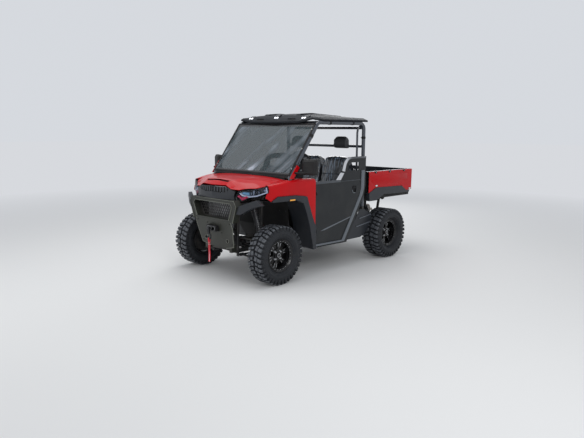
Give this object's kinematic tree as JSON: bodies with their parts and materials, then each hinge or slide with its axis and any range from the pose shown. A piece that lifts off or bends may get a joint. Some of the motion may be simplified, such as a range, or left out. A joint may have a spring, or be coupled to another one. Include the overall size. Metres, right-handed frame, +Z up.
{
  "type": "side by side utility vehicle",
  "caption": "Side by side utility vehicle with a roll cage cab, bench seat, doors, front winch and bumper, and a tilting cargo bed with tailgate.",
  "frame": {"origin": "on the ground, centred in width, midway between the winch hook and the hitch receiver", "axes": "+X to the front, +Y to the driver's left, +Z up"},
  "size_m": [3.24, 1.8848, 1.988],
  "materials": {
    "red_paint": "glossy moulded colour panels",
    "dark_panel": "grained charcoal plastic",
    "door_panel": "grained charcoal plastic, satin",
    "bumper_steel": "satin powder coat, dark olive grey",
    "cage_tube": "satin black powder coat",
    "frame_tube": "black powder coat",
    "tyre_rubber": "moulded rubber",
    "rim_black": "gloss black with machined edges",
    "clear_pane": "clear polycarbonate, dark border",
    "lamp_lens": "clear lens over bright reflectors",
    "tail_lens": "red lens",
    "seat_vinyl": "vinyl under a thin protective film",
    "black_plastic": "black moulding",
    "bare_steel": "machined and zinc plated",
    "cast_metal": "cast housings",
    "spring_coat": "coated spring steel",
    "mesh_black": "black mesh",
    "strap_web": "woven webbing"
  },
  "bodies": {
    "chassis": {"frame": "frame_tube", "front_tower": "frame_tube", "bed_carrier": "frame_tube", "cage_side_left": "cage_tube", "cage_side_right": "cage_tube", "cage_crossbars": "cage_tube", "roof": "dark_panel", "roof_lamps": "lamp_lens", "windscreen": "clear_pane", "hood": "red_paint", "fenders": "red_paint", "pillar_covers": "red_paint", "front_flares": "dark_panel", "fascia": "dark_panel", "bumper_wings": "dark_panel", "headlights": "lamp_lens", "bumper": "bumper_steel", "grille_mesh": "mesh_black", "radiator": "cast_metal", "winch": "cast_metal", "fairlead": "black_plastic", "winch_hook": "bare_steel", "winch_strap": "strap_web", "mirrors": "black_plastic", "cab_floor": "black_plastic", "dashboard": "black_plastic", "steering_column": "black_plastic", "seat_base": "black_plastic", "seat_cushions": "seat_vinyl", "seat_backs": "seat_vinyl", "headrests": "seat_vinyl", "rear_side_panels": "dark_panel", "engine": "cast_metal", "silencer": "bare_steel", "skid_plate": "black_plastic", "hitch_receiver": "frame_tube", "suspension_arms": "frame_tube", "shocks": "spring_coat", "drive_line": "cast_metal", "rear_carriers": "cast_metal"},
    "knuckle_left": {"knuckle_left": "cast_metal"},
    "knuckle_right": {"knuckle_right": "cast_metal"},
    "wheel_front_left": {"tyre_front_left": "tyre_rubber", "rim_front_left": "rim_black"},
    "wheel_front_right": {"tyre_front_right": "tyre_rubber", "rim_front_right": "rim_black"},
    "wheel_rear_left": {"tyre_rear_left": "tyre_rubber", "rim_rear_left": "rim_black"},
    "wheel_rear_right": {"tyre_rear_right": "tyre_rubber", "rim_rear_right": "rim_black"},
    "steering_rack": {"steering_rack": "bare_steel"},
    "steering_wheel": {"steering_wheel": "black_plastic"},
    "door_left": {"door_left": "door_panel"},
    "door_right": {"door_right": "door_panel"},
    "bed": {"bed_tub": "black_plastic", "bed_sides": "red_paint", "bed_flares": "dark_panel", "tail_lamps": "tail_lens"},
    "tailgate": {"tailgate": "dark_panel"}
  },
  "joints": [
    {"name": "steer_left", "type": "hinge", "parent": "chassis", "child": "knuckle_left", "pos_m": [1.195, 0.61, 0.343], "axis": [0, 0, 1], "range_deg": [-30, 30]},
    {"name": "steer_right", "type": "hinge", "parent": "chassis", "child": "knuckle_right", "pos_m": [1.195, -0.61, 0.343], "axis": [0, 0, 1], "range_deg": [-30.5, 30.5]},
    {"name": "spin_front_left", "type": "hinge", "parent": "knuckle_left", "child": "wheel_front_left", "pos_m": [1.195, 0.71, 0.343], "axis": [0, 1, 0], "continuous": true},
    {"name": "spin_front_right", "type": "hinge", "parent": "knuckle_right", "child": "wheel_front_right", "pos_m": [1.195, -0.71, 0.343], "axis": [0, 1, 0], "continuous": true},
    {"name": "spin_rear_left", "type": "hinge", "parent": "chassis", "child": "wheel_rear_left", "pos_m": [-0.955, 0.7, 0.343], "axis": [0, 1, 0], "continuous": true},
    {"name": "spin_rear_right", "type": "hinge", "parent": "chassis", "child": "wheel_rear_right", "pos_m": [-0.955, -0.7, 0.343], "axis": [0, 1, 0], "continuous": true},
    {"name": "rack_slide", "type": "slide", "parent": "chassis", "child": "steering_rack", "axis": [0, 1, 0], "range_m": [-0.0625, 0.0625]},
    {"name": "steering_wheel_turn", "type": "hinge", "parent": "chassis", "child": "steering_wheel", "pos_m": [0.4, 0.4, 1.37], "axis": [0.7547, 0, -0.6561], "range_deg": [-242, 242]},
    {"name": "door_left_hinge", "type": "hinge", "parent": "chassis", "child": "door_left", "pos_m": [0.548, 0.738, 0.75], "axis": [0, 0, -1], "range_deg": [0, 70]},
    {"name": "door_right_hinge", "type": "hinge", "parent": "chassis", "child": "door_right", "pos_m": [0.548, -0.738, 0.75], "axis": [0, 0, 1], "range_deg": [0, 70]},
    {"name": "bed_tilt", "type": "hinge", "parent": "chassis", "child": "bed", "pos_m": [-1.4, 0, 0.77], "axis": [0, -1, 0], "range_deg": [0, 40]},
    {"name": "tailgate_hinge", "type": "hinge", "parent": "bed", "child": "tailgate", "pos_m": [-1.578, 0, 0.852], "axis": [0, -1, 0], "range_deg": [0, 90]}
  ],
  "couplings": [
    {"joint": "steer_right", "follows": "steer_left", "ratio": 1},
    {"joint": "rack_slide", "follows": "steer_left", "m_per_rad": -0.115},
    {"joint": "steering_wheel_turn", "follows": "steer_left", "ratio": 8}
  ]
}
